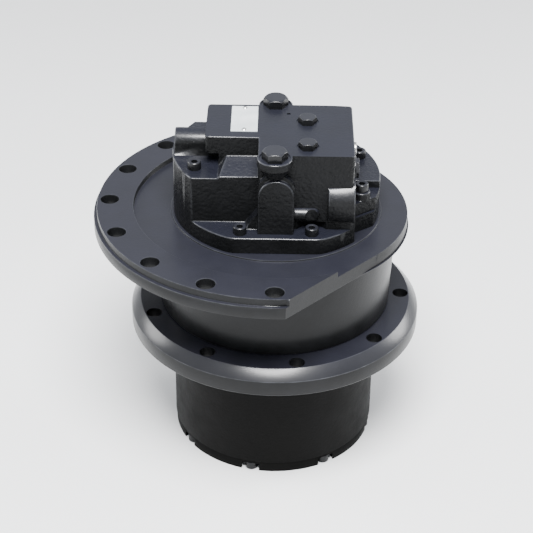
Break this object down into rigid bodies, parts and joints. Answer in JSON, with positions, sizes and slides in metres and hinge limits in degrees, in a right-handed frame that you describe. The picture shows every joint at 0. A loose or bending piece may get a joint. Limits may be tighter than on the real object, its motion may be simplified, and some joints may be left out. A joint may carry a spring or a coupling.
{
  "type": "skid steer final drive",
  "caption": "Two-stage planetary travel drive with a hydraulic motor: a fixed frame flange and drum, a turning sprocket hub and gear case, and a cast motor cover with ports on top.",
  "frame": {"origin": "centre of the outer face of the gear cover, on the rotation axis", "axes": "+Z along the rotation axis from the gear cover to the motor; -X towards the middle of the half circle of frame bolts; +Y towards the hose ports on the back of the port block"},
  "size_m": [0.3349, 0.37, 0.366],
  "materials": {
    "cast_housing": "satin machined and painted casting",
    "motor_casting": "painted rough casting with machined faces",
    "black_cover": "black satin paint",
    "steel": "ground steel",
    "dark_steel": "black oxide steel",
    "bronze": "plain bronze",
    "rubber": "matte rubber",
    "plate_face": "matt aluminium sheet"
  },
  "bodies": {
    "spindle": {"spindle_housing": "cast_housing", "motor_cover": "motor_casting", "motor_cover_bolts": "dark_steel", "large_port_plugs": "dark_steel", "small_port_plugs": "dark_steel", "name_plate": "plate_face", "plate_rivets": "steel", "spool_plug": "dark_steel", "relief_cartridge": "steel", "face_plug": "steel", "cover_seal": "rubber", "valve_plate": "bronze", "front_shaft_bearing": "steel", "rear_shaft_bearing": "steel", "shaft_seal": "rubber", "swash_bushes": "bronze", "steel_brake_plates": "dark_steel", "second_planet_pins": "steel", "planet_thrust_ring": "dark_steel", "inner_bearing_races": "steel", "bearing_nut": "dark_steel", "spindle_seal_ring": "dark_steel", "spindle_toric_ring": "rubber", "brake_disc_spring": "dark_steel", "second_planet_bushes": "bronze"},
    "hub": {"hub_housing": "cast_housing", "ring_gear": "steel", "gear_cover": "black_cover", "cover_bolts": "dark_steel", "cover_plugs": "dark_steel", "thrust_button": "bronze", "outer_bearing_races": "steel", "hub_seal_ring": "dark_steel", "hub_toric_ring": "rubber", "case_seal": "rubber"},
    "motor_rotor": {"drive_shaft": "steel", "cylinder_block": "steel", "motor_pistons": "steel", "piston_shoes": "bronze", "shoe_retainer": "steel", "lined_brake_discs": "bronze", "sun_pinion": "steel"},
    "carrier": {"first_carrier": "dark_steel", "first_planet_pins": "steel", "first_planet_bushes": "bronze", "second_sun": "steel"},
    "roller_cages": {"bearing_rollers": "steel", "bearing_cages": "bronze"},
    "brake_piston_body": {"brake_piston": "steel"},
    "swash_body": {"swash_plate": "steel"},
    "speed_piston_body": {"speed_piston": "steel"},
    "spool_body": {"counterbalance_spool": "steel"},
    "first_planet_1_body": {"first_planet_1": "steel"},
    "first_planet_2_body": {"first_planet_2": "steel"},
    "first_planet_3_body": {"first_planet_3": "steel"},
    "second_planet_1_body": {"second_planet_1": "steel"},
    "second_planet_2_body": {"second_planet_2": "steel"},
    "second_planet_3_body": {"second_planet_3": "steel"},
    "second_planet_4_body": {"second_planet_4": "steel"}
  },
  "joints": [
    {"name": "hub_spin", "type": "hinge", "parent": "spindle", "child": "hub", "pos_m": [0, 0, 0], "axis": [0, 0, 1], "continuous": true},
    {"name": "carrier_spin", "type": "hinge", "parent": "spindle", "child": "carrier", "pos_m": [0, 0, 0], "axis": [0, 0, 1], "continuous": true},
    {"name": "rotor_spin", "type": "hinge", "parent": "spindle", "child": "motor_rotor", "pos_m": [0, 0, 0], "axis": [0, 0, 1], "continuous": true},
    {"name": "roller_cage_spin", "type": "hinge", "parent": "spindle", "child": "roller_cages", "pos_m": [0, 0, 0], "axis": [0, 0, 1], "continuous": true},
    {"name": "first_planet_1_spin", "type": "hinge", "parent": "carrier", "child": "first_planet_1_body", "pos_m": [0, 0.04875, 0], "axis": [0, 0, 1], "continuous": true},
    {"name": "first_planet_2_spin", "type": "hinge", "parent": "carrier", "child": "first_planet_2_body", "pos_m": [-0.04222, -0.02438, 0], "axis": [0, 0, 1], "continuous": true},
    {"name": "first_planet_3_spin", "type": "hinge", "parent": "carrier", "child": "first_planet_3_body", "pos_m": [0.04222, -0.02438, 0], "axis": [0, 0, 1], "continuous": true},
    {"name": "second_planet_1_spin", "type": "hinge", "parent": "spindle", "child": "second_planet_1_body", "pos_m": [0.0525, 0, 0], "axis": [0, 0, 1], "continuous": true},
    {"name": "second_planet_2_spin", "type": "hinge", "parent": "spindle", "child": "second_planet_2_body", "pos_m": [0, 0.0525, 0], "axis": [0, 0, 1], "continuous": true},
    {"name": "second_planet_3_spin", "type": "hinge", "parent": "spindle", "child": "second_planet_3_body", "pos_m": [-0.0525, 0, 0], "axis": [0, 0, 1], "continuous": true},
    {"name": "second_planet_4_spin", "type": "hinge", "parent": "spindle", "child": "second_planet_4_body", "pos_m": [0, -0.0525, 0], "axis": [0, 0, 1], "continuous": true},
    {"name": "swash_tilt", "type": "hinge", "parent": "spindle", "child": "swash_body", "pos_m": [0, 0, 0.17], "axis": [1, 0, 0], "range_deg": [-7, 0]},
    {"name": "speed_piston_slide", "type": "slide", "parent": "spindle", "child": "speed_piston_body", "axis": [0, 0, 1], "range_m": [0, 0.0057]},
    {"name": "brake_release", "type": "slide", "parent": "spindle", "child": "brake_piston_body", "axis": [0, 0, 1], "range_m": [0, 0.002], "stiffness_N_per_m": 40000, "deforming": ["brake_disc_spring"]},
    {"name": "spool_shift", "type": "slide", "parent": "spindle", "child": "spool_body", "axis": [1, 0, 0], "range_m": [-0.005, 0.005], "stiffness_N_per_m": 3000}
  ],
  "couplings": [
    {"joint": "carrier_spin", "follows": "hub_spin", "ratio": -3},
    {"joint": "rotor_spin", "follows": "hub_spin", "ratio": -19.8},
    {"joint": "roller_cage_spin", "follows": "hub_spin", "ratio": 0.536},
    {"joint": "first_planet_1_spin", "follows": "hub_spin", "ratio": 10.5},
    {"joint": "first_planet_2_spin", "follows": "hub_spin", "ratio": 10.5},
    {"joint": "first_planet_3_spin", "follows": "hub_spin", "ratio": 10.5},
    {"joint": "second_planet_1_spin", "follows": "hub_spin", "ratio": 3},
    {"joint": "second_planet_2_spin", "follows": "hub_spin", "ratio": 3},
    {"joint": "second_planet_3_spin", "follows": "hub_spin", "ratio": 3},
    {"joint": "second_planet_4_spin", "follows": "hub_spin", "ratio": 3},
    {"joint": "speed_piston_slide", "follows": "swash_tilt", "m_per_rad": -0.0455}
  ]
}
